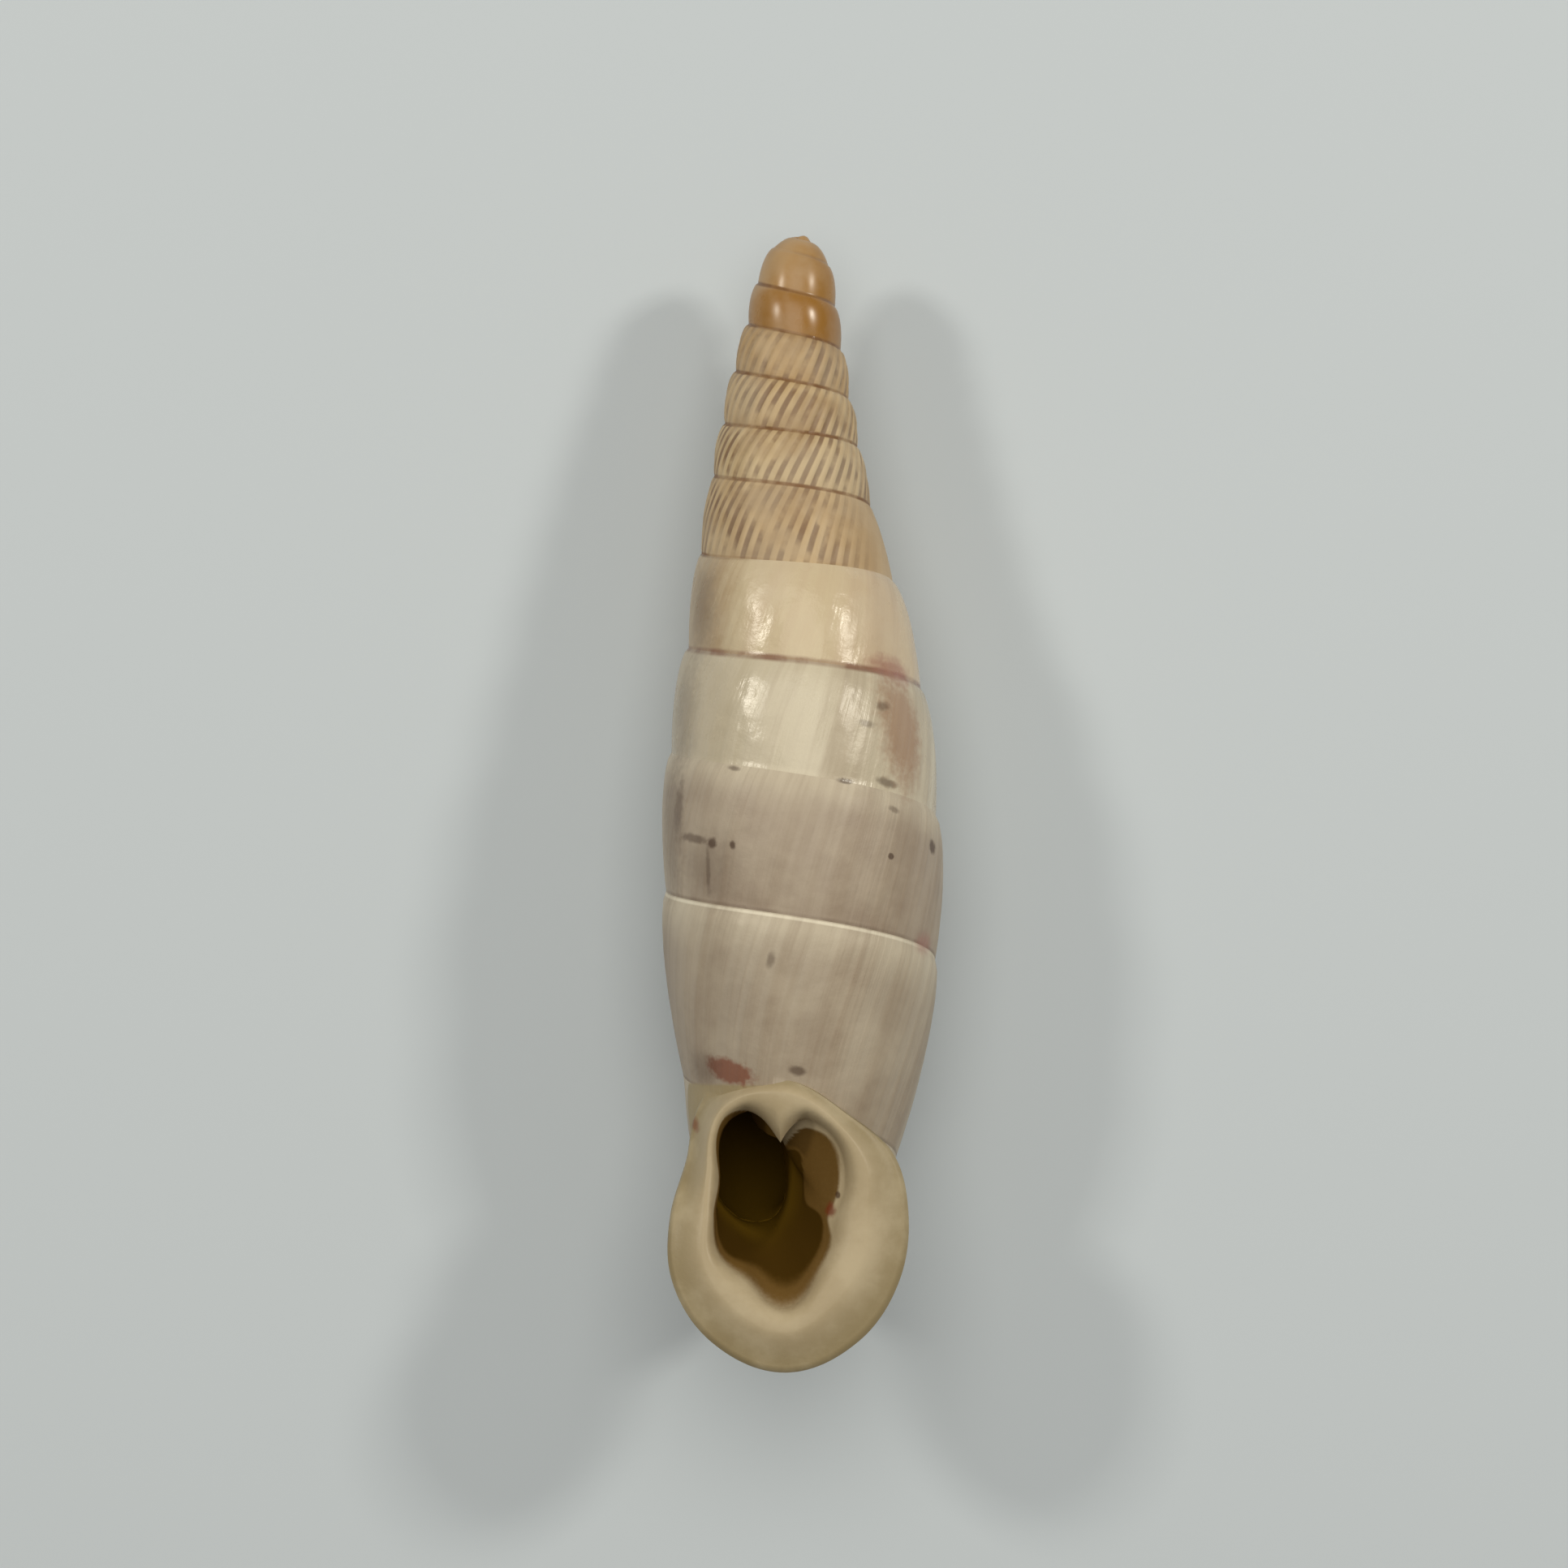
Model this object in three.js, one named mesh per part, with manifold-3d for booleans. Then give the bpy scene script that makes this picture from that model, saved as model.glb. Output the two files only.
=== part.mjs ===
import * as THREE from "three";
import { mergeVertices } from "three/addons/utils/BufferGeometryUtils.js";
import Module from "manifold-3d";

// The shell of a door snail, a slender land snail that coils to the left. It lies on its back with
// the mouth facing up. Millimetres: +Y runs toward the apex, +Z is up, +X is the right-hand side
// of somebody who looks down at the mouth with the apex away from them.
//
// The shell is drawn in its own coordinates first: x to the right, h down the axis from the apex,
// z out of the mouth. A turn number t counts the coiling from the apex: whole numbers are on the
// left, t + 0.25 is the front, t + 0.5 the right, t + 0.75 the back.

// The suture: radius and depth below the apex at each turn. It closes on the axis at both ends.
const SUTURE_RADIUS = [
  [-1, 0], [0, 0.36], [1, 0.56], [2, 0.66], [3, 0.81], [4, 0.95], [5, 1.11], [6, 1.33],
  [7, 1.64], [8, 1.94], [9, 2.03], [9.5, 1.99], [10, 1.77], [10.5, 1.4], [11, 1.22],
  [11.5, 0.65], [12, 0],
];
const SUTURE_DEPTH = [
  [-1, 0], [0, 0.17], [1, 0.72], [2, 1.33], [3, 2.04], [4, 2.8], [5, 3.57], [6, 4.65],
  [7, 6.09], [8, 7.69], [9, 9.8], [9.5, 10.85], [10, 12.56], [10.5, 13.8], [11, 14.9],
  [11.5, 15.35], [12, 15.45],
];
// How far each whorl swells out between its sutures, and how the axis sways to the side.
const SWELL = [[-2, 0.06], [4, 0.055], [5, 0.035], [6, 0.08], [9, 0.12], [10, 0.14], [10.5, 0.1]];
const SWELL_POWER = [[9.5, 0.6], [10, 1.3], [10.5, 1]]; // under one, the shoulder sits high
const SWAY = [[0, -0.04], [1.3, -0.135], [2.9, -0.2], [4.2, -0.19], [6.2, -0.05], [8.6, 0], [10, 0]];

// The hollow: wall thickness and the solid pillar (columella) in the middle, by turn.
const WALL = [[0, 0.07], [10, 0.19]];
const PILLAR = [[0, 0.06], [9, 0.24], [10, 0.28]];
const HOLLOW_START = 0.8;

// The mouth, as a clock face that is read from the apex side toward the right, every 30 degrees.
const MOUTH = { x: -0.243, h: 14.69 };
// Reach of the narrowest place behind the tooth, of the hole, of the crest of the lip and of its
// outer edge, then the height of crest and edge above the axis, and the wall of the neck.
const FOLD_RADIUS = [1.15, 0.72, 0.57, 0.61, 0.66, 0.8, 1.0, 0.92, 0.87, 0.82, 0.95, 1.28];
const HOLE_RADIUS = [1.47, 1.28, 1.0, 0.72, 0.72, 0.93, 1.3, 1.06, 1.1, 1.03, 1.12, 1.62];
const CREST_RADIUS = [1.76, 1.53, 1.37, 1.19, 1.3, 1.46, 1.72, 1.56, 1.4, 1.2, 1.34, 1.8];
const EDGE_RADIUS = [2.02, 1.77, 1.84, 1.82, 1.94, 2.15, 2.32, 2.17, 1.94, 1.71, 1.67, 1.84];
const CREST_HEIGHT = [1.8, 1.8, 1.76, 1.74, 1.78, 1.84, 1.88, 1.86, 1.8, 1.71, 1.55, 1.52];
const EDGE_HEIGHT = [1.7, 1.62, 1.5, 1.52, 1.58, 1.64, 1.68, 1.66, 1.58, 1.46, 1.16, 1.06];
const RIM_DEPTH = 0.3; // the hole's edge lies this far behind the crest of the lip
const RIM_THICKNESS = 0.12; // the lip's outer edge
const NECK_WALL = [0.1, 0.25, 0.4, 0.45, 0.38, 0.32, 0.3, 0.26, 0.22, 0.2, 0.12, -0.05];
// The neck by its way v from the whorl, 0, to the hole, 1, with its share of the full wall.
const NECK_SHARES = [[0.15, -0.5], [0.3, -0.1], [0.45, 0.3], [0.6, 0.7], [0.8, 1]];

// The tooth on the wall above the mouth: its outline at full size, and its height above the axis,
// size and shift to the right from its front end to its back end.
const TOOTH_ROOT = { x: -0.4, h: 13.0 };
const TOOTH_OUTLINE = [
  [-0.62, 13.0], [-0.5, 13.22], [-0.4, 13.46], [-0.33, 13.56],
  [-0.25, 13.5], [-0.16, 13.3], [-0.02, 13.1], [-0.12, 12.85], [-0.45, 12.8],
];
const TOOTH_RUN = [
  [1.76, 0.3, 0], [1.72, 0.58, 0], [1.64, 0.83, 0], [1.5, 1, 0],
  [1.2, 0.95, -0.1], [0.8, 0.75, -0.25], [0.5, 0.4, -0.4],
];

// The shell tips toward its apex by this angle and rests on two spots ground flat by wear.
const TIP_DEG = 1.5;
const TIP_DEPTH = 10;
const REST_LEVEL = -2.06;

// How finely the surfaces are divided.
const SECTORS = 30;
const BULGE_STEPS = [0, 0.08, 0.25, 0.5, 0.76];
const HOLLOW_STEPS = 16;
const HOLLOW_POINTS = 12;
const THROAT_STEPS = [0, 0.15, 0.3, 0.45, 0.58, 0.7, 0.85, 1];
const LIP_STEPS = [0.25, 0.65];
const RIM_STEPS = [2, 1.75, 1.4, 1];
const MOUTH_POINTS = 36;

// A smooth curve through [position, value] pairs that never overshoots them.
function along(pairs, at) {
  const last = pairs.length - 1;
  if (at <= pairs[0][0]) return pairs[0][1];
  if (at >= pairs[last][0]) return pairs[last][1];
  const rise = (i) => (pairs[i + 1][1] - pairs[i][1]) / (pairs[i + 1][0] - pairs[i][0]);
  const slope = (i) => {
    if (i === 0 || i === last) return i === 0 ? rise(0) : rise(last - 1);
    const a = rise(i - 1);
    const b = rise(i);
    return a * b <= 0 ? 0 : (2 * a * b) / (a + b);
  };
  let i = 0;
  while (at > pairs[i + 1][0]) i += 1;
  const width = pairs[i + 1][0] - pairs[i][0];
  const u = (at - pairs[i][0]) / width;
  return (
    (2 * u ** 3 - 3 * u ** 2 + 1) * pairs[i][1] +
    (u ** 3 - 2 * u ** 2 + u) * width * slope(i) +
    (3 * u ** 2 - 2 * u ** 3) * pairs[i + 1][1] +
    (u ** 3 - u ** 2) * width * slope(i + 1)
  );
}

// A smooth closed curve through the twelve values of a clock face; clock is in turns.
function around(values, clock) {
  const n = values.length;
  const at = (((clock % 1) + 1) % 1) * n;
  const i = Math.floor(at);
  const u = at - i;
  const [a, b, c, d] = [-1, 0, 1, 2].map((k) => values[(i + k + n) % n]);
  return b + 0.5 * u * (c - a + u * (2 * a - 5 * b + 4 * c - d + u * (3 * (b - c) + d - a)));
}

const mix = (a, b, share) => a + (b - a) * share;

// From the shell's own coordinates to the part's, before it is set down: each section stays
// square to the swaying axis.
function place(x, h, z) {
  const lean = (along(SWAY, h + 0.01) - along(SWAY, h - 0.01)) / 0.02;
  return [along(SWAY, h) + x, lean * x - h, z];
}

// A point of the outer wall: s runs from the suture above, 0, to the suture below, 1.
function wallAt(t, s) {
  const [r0, r1] = [along(SUTURE_RADIUS, t), along(SUTURE_RADIUS, t + 1)];
  const [h0, h1] = [along(SUTURE_DEPTH, t), along(SUTURE_DEPTH, t + 1)];
  const length = Math.hypot(r1 - r0, h1 - h0) + 1e-9;
  const power = along(SWELL_POWER, t);
  const peak = (power / (1 + power)) ** power / (1 + power);
  const swell = (Math.min(along(SWELL, t), 0.3 * length) * s ** power * (1 - s)) / peak;
  return {
    r: r0 + (r1 - r0) * s + (swell * (h1 - h0)) / length,
    h: h0 + (h1 - h0) * s - (swell * (r1 - r0)) / length,
  };
}

// One cross-section of the hollow, in the plane of turn t: radius from its middle by clock.
function hollowAt(t) {
  const wall = along(WALL, t);
  const [top, bottom] = [along(SUTURE_DEPTH, t), along(SUTURE_DEPTH, t + 1)];
  const outer = wallAt(t, 0.45).r - wall;
  const inner = along(PILLAR, t);
  const half = { r: (outer - inner) / 2, h: (bottom - top) / 2 - 0.75 * wall };
  return {
    r: (outer + inner) / 2,
    h: (top + bottom) / 2,
    lean: (0.8 * (along(SUTURE_RADIUS, t + 1) - along(SUTURE_RADIUS, t))) / (bottom - top),
    reach: (clock) => {
      const [c, s] = [Math.cos(2 * Math.PI * clock), Math.sin(2 * Math.PI * clock)];
      return (Math.abs(s / half.r) ** 2.4 + Math.abs(c / half.h) ** 2.4) ** (-1 / 2.4);
    },
  };
}

// The throat, from the last full cross-section of the hollow, v = 0, to the edge of the hole,
// v = 1; wall moves the point outwards.
function throatAt(clock, v, wall = 0) {
  const start = hollowAt(10);
  const share = v ** 1.5;
  const fold = around(FOLD_RADIUS, clock);
  const widths = [[0, start.reach(clock)], [0.58, fold], [1, around(HOLE_RADIUS, clock)]];
  const reach = along(widths, v) + wall;
  const down = -reach * Math.cos(2 * Math.PI * clock);
  const right = reach * Math.sin(2 * Math.PI * clock) - (1 - v) * start.lean * down;
  return place(
    mix(-start.r, MOUTH.x, share) + right,
    mix(start.h, MOUTH.h, share) + down,
    v * (around(CREST_HEIGHT, clock) - RIM_DEPTH),
  );
}

// A point at a reach from the middle of the mouth.
function mouthAt(clock, reach, z) {
  const angle = 2 * Math.PI * clock;
  return place(MOUTH.x + reach * Math.sin(angle), MOUTH.h - reach * Math.cos(angle), z);
}

// The face of the lip: c runs from the hole, 0, over the crest, 1, to the outer edge, 2.
function lipAt(clock, c, drop = 0) {
  const at = (values) => around(values, clock);
  const [hole, crest, edge] = [HOLE_RADIUS, CREST_RADIUS, EDGE_RADIUS].map(at);
  const [top, rim] = [CREST_HEIGHT, EDGE_HEIGHT].map(at);
  const reach = c < 1 ? mix(hole, crest, c) : mix(crest, edge, c - 1);
  const z = c < 1 ? top - RIM_DEPTH * (1 - c) ** 3 : mix(top, rim, (c - 1) ** 0.75);
  return mouthAt(clock, reach, z - drop);
}

const wasm = await Module();
wasm.setup();

// A closed solid from rows of vertices; id gives the vertex number of row i, column j.
function solid(points, rows, columns, id, inward = false) {
  const triangles = [];
  const add = (a, b, c) => {
    if (a !== b && b !== c && c !== a) triangles.push(a, b, c);
  };
  for (let i = 0; i < rows; i += 1)
    for (let j = 0; j < columns; j += 1) {
      const [a, b, c, d] = [id(i, j), id(i + 1, j), id(i + 1, j + 1), id(i, j + 1)];
      add(a, b, c);
      add(a, c, d);
    }
  if (inward) triangles.reverse();
  return new wasm.Manifold(
    new wasm.Mesh({
      numProp: 3,
      vertProperties: new Float32Array(points.flat()),
      triVerts: new Uint32Array(triangles),
    }),
  );
}

// The whorls as a solid, with no hollow yet: a strip that is its own neighbour one turn later.
function whorls() {
  const columns = BULGE_STEPS.length;
  const rows = 14 * SECTORS;
  const points = [place(0, 0, 0), place(0, along(SUTURE_DEPTH, 12), 0)];
  const number = new Map();
  for (let i = 0; i <= rows + SECTORS; i += 1)
    for (let j = 0; j < columns; j += 1) {
      const t = i / SECTORS - 2;
      const closed = j === 0 ? t <= -1 || t >= 12 : i === 0 || i >= rows;
      if (closed) {
        number.set(i * columns + j, t < 5 ? 0 : 1);
        continue;
      }
      const { r, h } = wallAt(t, BULGE_STEPS[j]);
      const turn = 2 * Math.PI * t;
      number.set(i * columns + j, points.length);
      points.push(place(-r * Math.cos(turn), h, r * Math.sin(turn)));
    }
  const id = (i, j) =>
    j === columns ? number.get((i + SECTORS) * columns) : number.get(i * columns + j);
  return solid(points, rows, columns, id, true);
}

// Rings of equal length, joined in order, with a flat lid on the first and the last.
function tube(rings) {
  const columns = rings[0].length;
  const points = rings.flat();
  const middle = (ring) => [0, 1, 2].map((k) => ring.reduce((sum, p) => sum + p[k], 0) / columns);
  points.push(middle(rings[0]), middle(rings[rings.length - 1]));
  const id = (i, j) => {
    if (i === 0) return points.length - 2;
    if (i === rings.length + 1) return points.length - 1;
    return (i - 1) * columns + (j % columns);
  };
  return solid(points, rings.length + 1, columns, id);
}

const clocks = (count) => Array.from({ length: count }, (_, k) => k / count);

// What the animal leaves empty: the hollow up to the mouth plane, then the throat, which opens
// out across the face of the lip.
function hollow() {
  const rings = [];
  const steps = Math.round((10 - HOLLOW_START) * HOLLOW_STEPS);
  for (let i = 0; i <= steps; i += 1) {
    const t = mix(HOLLOW_START, 10.02, i / steps); // a little past the throat's first section
    const section = hollowAt(t);
    const turn = 2 * Math.PI * t;
    rings.push(
      clocks(HOLLOW_POINTS).map((clock) => {
        const reach = section.reach(clock);
        const down = -reach * Math.cos(2 * Math.PI * clock);
        const r = section.r - reach * Math.sin(2 * Math.PI * clock) + section.lean * down;
        return place(-r * Math.cos(turn), section.h + down, r * Math.sin(turn));
      }),
    );
  }
  return tube(rings);
}

function throat() {
  const ring = (point) => clocks(MOUTH_POINTS).map(point);
  const beyond = (clock, lift) => {
    const [reach, top] = [around(CREST_RADIUS, clock), around(CREST_HEIGHT, clock)];
    return mouthAt(clock, reach + 0.1, top + lift);
  };
  return tube([
    ...THROAT_STEPS.map((v) => ring((clock) => throatAt(clock, v))),
    ...LIP_STEPS.map((c) => ring((clock) => lipAt(clock, c))),
    ring((clock) => beyond(clock, 0.03)),
    ring((clock) => beyond(clock, 1)),
  ]);
}

// The trumpet that the last whorl ends in, still solid: the neck, then the underside, edge and
// face of the lip.
function trumpet() {
  const ring = (point) => clocks(MOUTH_POINTS).map(point);
  const neck = (clock, v, share) => throatAt(clock, v, share * around(NECK_WALL, clock));
  const under = (clock) => {
    const edge = lipAt(clock, 2, RIM_THICKNESS);
    const root = neck(clock, 0.8, 1);
    return edge.map((value, i) => mix(value, root[i], 0.4));
  };
  return tube([
    ...NECK_SHARES.map(([v, share]) => ring((clock) => neck(clock, v, share))),
    ring(under),
    ring((clock) => lipAt(clock, 2, RIM_THICKNESS / 2)),
    ...RIM_STEPS.map((c) => ring((clock) => lipAt(clock, c))),
  ]);
}

// The tooth: a rounded blade that hangs from the top of the mouth and runs inwards and to the left.
function tooth() {
  return tube(
    TOOTH_RUN.map(([z, size, shift]) =>
      TOOTH_OUTLINE.map(([x, h]) => [
        mix(TOOTH_ROOT.x, x, size) + shift,
        -mix(TOOTH_ROOT.h, h, size),
        z,
      ]),
    ),
  );
}

// What the ground has worn away: a block that is far larger than the shell.
function worn() {
  const block = new THREE.BoxGeometry(40, 60, 10).deleteAttribute("normal").deleteAttribute("uv");
  const merged = mergeVertices(block.translate(0, 0, REST_LEVEL - 5));
  return new wasm.Manifold(
    new wasm.Mesh({
      numProp: 3,
      vertProperties: merged.getAttribute("position").array,
      triVerts: new Uint32Array(merged.index.array),
    }),
  );
}

// Put together: the trumpet grows out of the whorls, both are hollow, and the back is worn flat.
const grown = whorls().add(trumpet()).subtract(hollow()).subtract(throat()).add(tooth());
const rested = grown.translate([0, TIP_DEPTH, 0]).rotate([-TIP_DEG, 0, 0]).subtract(worn());
const { min, max } = rested.boundingBox();
const placed = rested.translate([-(min[0] + max[0]) / 2, -(min[1] + max[1]) / 2, -REST_LEVEL]);

const { vertProperties, triVerts } = placed.getMesh();
const geometry = new THREE.BufferGeometry()
  .setAttribute("position", new THREE.BufferAttribute(vertProperties, 3))
  .setIndex(new THREE.BufferAttribute(triVerts, 1));
geometry.computeVertexNormals();
const material = new THREE.MeshStandardMaterial({ color: 0xb8aa90, roughness: 0.55, metalness: 0 });
const shell = new THREE.Mesh(geometry, material);
shell.name = "shell";

const group = new THREE.Group();
group.add(shell);
export default group;
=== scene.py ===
# %% [markdown]
# # A door snail's shell
#
# The object is the empty shell of a door snail, a slender land snail that coils to the left. It is
# 17 mm long and lies on its back with the mouth facing up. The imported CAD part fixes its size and
# place; this lesson grows a finer surface in the same place and gives it the look of old shell:
# an amber tip, worn cream ribs, chalky whorls and a glossy lip.
#
# Everything is worked out in millimetres in the shell's own coordinates and turned into metres in
# the frame's coordinates at the end. In the shell's own coordinates x points to the right, h down
# the axis from the tip, and z out of the mouth.

# %% Load the frame
import math
from types import SimpleNamespace

import bmesh
import bpy
import numpy as np

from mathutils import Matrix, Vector


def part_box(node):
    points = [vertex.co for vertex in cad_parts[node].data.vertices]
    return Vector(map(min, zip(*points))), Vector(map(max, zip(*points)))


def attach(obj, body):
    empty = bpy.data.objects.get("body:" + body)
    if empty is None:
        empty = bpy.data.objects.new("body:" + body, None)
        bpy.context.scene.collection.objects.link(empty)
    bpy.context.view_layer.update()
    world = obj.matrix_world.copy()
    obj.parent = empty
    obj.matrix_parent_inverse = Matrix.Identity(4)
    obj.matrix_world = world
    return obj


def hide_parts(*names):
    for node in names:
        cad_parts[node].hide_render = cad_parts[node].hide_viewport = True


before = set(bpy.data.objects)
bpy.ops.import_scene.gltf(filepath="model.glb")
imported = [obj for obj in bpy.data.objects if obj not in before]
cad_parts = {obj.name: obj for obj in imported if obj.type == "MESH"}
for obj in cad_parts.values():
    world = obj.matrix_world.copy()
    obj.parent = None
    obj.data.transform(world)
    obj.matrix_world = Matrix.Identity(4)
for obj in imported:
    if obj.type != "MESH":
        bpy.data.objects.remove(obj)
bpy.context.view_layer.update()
cad_low, cad_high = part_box("shell")
MM = 0.001
print("the CAD shell measures", [round(side / MM, 2) for side in cad_high - cad_low], "mm")

# %% [markdown]
# ## The driving curves
#
# A snail shell is one tube that is wound round an axis while it grows. Its whole outside follows
# from one line, the suture, where each turn touches the turn before it. A few pairs of turn number
# and value describe that line, and a smooth curve runs through them. Whole turn numbers are on the
# left, a quarter more is the front, a half more the right and three quarters more the back.

# %% Driving sizes of the whorls
SUTURE_RADIUS = [
    (-1, 0), (0, 0.36), (1, 0.56), (2, 0.66), (3, 0.81), (4, 0.95), (5, 1.11), (6, 1.33),
    (7, 1.64), (8, 1.94), (9, 2.03), (9.5, 1.99), (10, 1.77), (10.5, 1.4), (11, 1.22),
    (11.5, 0.65), (12, 0),
]
SUTURE_DEPTH = [
    (-1, 0), (0, 0.17), (1, 0.72), (2, 1.33), (3, 2.04), (4, 2.8), (5, 3.57), (6, 4.65),
    (7, 6.09), (8, 7.69), (9, 9.8), (9.5, 10.85), (10, 12.56), (10.5, 13.8), (11, 14.9),
    (11.5, 15.35), (12, 15.45),
]
SWELL = [(-2, 0.06), (4, 0.055), (5, 0.035), (6, 0.08), (9, 0.12), (10, 0.14), (10.5, 0.1)]
SWELL_POWER = [(9.5, 0.6), (10, 1.3), (10.5, 1)]
SWAY = [(0, -0.04), (1.3, -0.135), (2.9, -0.2), (4.2, -0.19), (6.2, -0.05), (8.6, 0), (10, 0)]
FIRST_TURN = -2
LAST_TURN = 12
TIP_ANGLE = math.radians(1.5)
TIP_DEPTH = 10
REST_LEVEL = -2.06


# %% Smooth curves through a few values
def cubic(u, width, a, b, slope_a, slope_b):
    """A cubic from a, at u = 0, to b, at u = 1, with its slopes over a step of the given width."""
    return (
        (2 * u**3 - 3 * u**2 + 1) * a
        + (u**3 - 2 * u**2 + u) * width * slope_a
        + (3 * u**2 - 2 * u**3) * b
        + (u**3 - u**2) * width * slope_b
    )


def along(pairs, at):
    """Values at the positions of at on a smooth curve through (position, value) pairs.

    Between two pairs it is a cubic whose slope at each pair is the harmonic mean of the climbs on
    both sides, 2ab / (a + b), or level where they have opposite signs, so it never overshoots.
    """
    x, y = np.array(pairs, float).T
    at = np.clip(np.asarray(at, float), x[0], x[-1])
    climb = np.diff(y) / np.diff(x)
    a, b = climb[:-1], climb[1:]
    safe = np.where(a * b > 0, a + b, 1)
    inner = np.where(a * b > 0, 2 * a * b / safe, 0)
    slope = np.concatenate([climb[:1], inner, climb[-1:]])
    i = np.clip(np.searchsorted(x, at, side="right") - 1, 0, len(x) - 2)
    width = x[i + 1] - x[i]
    return cubic((at - x[i]) / width, width, y[i], y[i + 1], slope[i], slope[i + 1])


def around(values, clock):
    """Values on a smooth closed curve (Catmull-Rom) through the equal steps of a clock face."""
    values = np.array(values, float)
    at = (np.asarray(clock, float) % 1) * len(values)
    i = np.floor(at).astype(int)
    u = at - i
    a, b, c, d = (values[(i + k) % len(values)] for k in (-1, 0, 1, 2))
    return b + 0.5 * u * (c - a + u * (2 * a - 5 * b + 4 * c - d + u * (3 * (b - c) + d - a)))


def mix(a, b, share):
    """A value share of the way from a to b."""
    return a + (b - a) * share


def ease(low, high, value):
    """0 below low, 1 above high, and a smooth S between them."""
    u = np.clip((value - low) / (high - low), 0, 1)
    return u * u * (3 - 2 * u)


def place(x, h, z):
    """Points of the shell from x, h and z: each section stays square to the swaying axis."""
    lean = (along(SWAY, h + 0.01) - along(SWAY, h - 0.01)) / 0.02
    return np.stack([along(SWAY, h) + x, lean * x - h, z + 0 * x], axis=-1)


print("radius at turns 0 to 11:", along(SUTURE_RADIUS, np.arange(12)).round(2))

# %% [markdown]
# ## From numbers to a mesh
#
# Every surface here is a grid of points. The helper below turns a grid into quads and keeps pairs of
# values for the material in UV maps, which survive joining and cutting. "growth" holds the place
# along the growth, "ribs" the count of ribs and the distance to the suture, and "tint" how much
# painted shade a point inside gets and how near the lip it lies. A row or column whose points are
# all alike is a pole, and merging by distance closes it.
#
# The two finishes are made empty here, so that each face knows its own when the parts are joined.
# Their nodes follow further down.


# %% A grid of points as a Blender object
whorl_finish = bpy.data.materials.new("whorl wall")
lip_finish = bpy.data.materials.new("lip and throat")


def grid_object(name, finish, points, maps, closed_rows=False, flip=False):
    """A mesh object from points[row, column], with UV maps of the same shape."""
    rows, columns = points.shape[:2]
    number = np.arange(rows * columns).reshape(rows, columns)
    if closed_rows:
        number = np.concatenate([number, number[:, :1]], axis=1)
        maps = {key: np.concatenate([uv, uv[:, :1]], axis=1) for key, uv in maps.items()}
    faces = np.stack([number[:-1, :-1], number[1:, :-1], number[1:, 1:], number[:-1, 1:]], -1)
    order = slice(None, None, -1 if flip else 1)
    mesh = bpy.data.meshes.new(name)
    mesh.from_pydata(points.reshape(-1, 3), [], faces.reshape(-1, 4)[:, order])
    for key, uv in maps.items():
        corners = np.stack([uv[:-1, :-1], uv[1:, :-1], uv[1:, 1:], uv[:-1, 1:]], 2)[:, :, order]
        mesh.uv_layers.new(name=key).data.foreach_set("uv", corners.astype(np.float32).ravel())
    mesh.materials.append(finish)
    piece = bpy.data.objects.new(name, mesh)
    bpy.context.scene.collection.objects.link(piece)
    return piece


def weld(piece, distance=1e-5):
    """Merges points closer than distance, which closes poles and seams."""
    work = bmesh.new()
    work.from_mesh(piece.data)
    bmesh.ops.remove_doubles(work, verts=work.verts, dist=distance)
    bmesh.ops.dissolve_degenerate(work, edges=work.edges, dist=distance)
    open_edges = sum(not edge.is_manifold for edge in work.edges)
    work.to_mesh(piece.data)
    work.free()
    print(piece.name, len(piece.data.vertices), "points,", open_edges, "open edges")


# %% [markdown]
# ## The mouth's sizes
#
# Everything about the mouth is given like a clock face round its middle: twelve values, read from
# the side of the tip toward the right. There are the narrow fold inside, the edge of the hole, the
# crest and the outer edge of the lip, the two heights of the lip, the edges of the painted shade in
# the throat, where it turns brown and then dark, and the edge of the callus.

# %% Driving sizes of the mouth
MOUTH_X, MOUTH_H = -0.243, 14.69
FOLD_RADIUS = [1.15, 0.72, 0.57, 0.61, 0.66, 0.8, 1.0, 0.92, 0.87, 0.82, 0.95, 1.28]
HOLE_RADIUS = [1.52, 1.36, 1.0, 0.72, 0.76, 0.95, 1.34, 1.1, 1.12, 1.03, 1.12, 1.64]
CREST_RADIUS = [1.8, 1.55, 1.37, 1.19, 1.3, 1.46, 1.72, 1.56, 1.4, 1.2, 1.34, 1.84]
EDGE_RADIUS = [2.02, 1.77, 1.84, 1.82, 1.94, 2.15, 2.32, 2.17, 1.94, 1.71, 1.7, 2.2]
CREST_HEIGHT = [1.8, 1.8, 1.76, 1.74, 1.78, 1.84, 1.88, 1.86, 1.8, 1.71, 1.55, 1.52]
EDGE_HEIGHT = [1.7, 1.62, 1.5, 1.52, 1.58, 1.64, 1.68, 1.66, 1.58, 1.46, 1.1, 0.96]
NECK_WALL = [0.1, 0.25, 0.4, 0.45, 0.38, 0.32, 0.3, 0.26, 0.22, 0.2, 0.12, -0.05]
NECK_SHARES = [(0.15, -0.5), (0.3, -0.1), (0.45, 0.3), (0.6, 0.7), (0.8, 1)]
FOLD_AT = 0.58
RIM_DEPTH = 0.3
RIM_THICKNESS = 0.12
JOIN = 0.8
MOUTH_POINTS = 180
THROAT_ROWS, SLOPE_ROWS = 41, 10
NECK_ROWS, UNDER_ROWS, FACE_ROWS = 14, 7, 13
CREST_ROWS = [1, 0.93, 0.86, JOIN]
# painted shade: where the throat's painted shade turns brown and then dark, and how soft that edge is
SHADE_DARK_RADIUS = [1.3, 0.63, 0.49, 0.62, 0.76, 0.98, 1.52, 1.2, 1.17, 1.07, 1.14, 1.68]
SHADE_BROWN_RADIUS = [1.4, 1.36, 0.98, 0.68, 0.84, 1.05, 1.6, 1.26, 1.2, 1.09, 1.16, 1.74]
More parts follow.
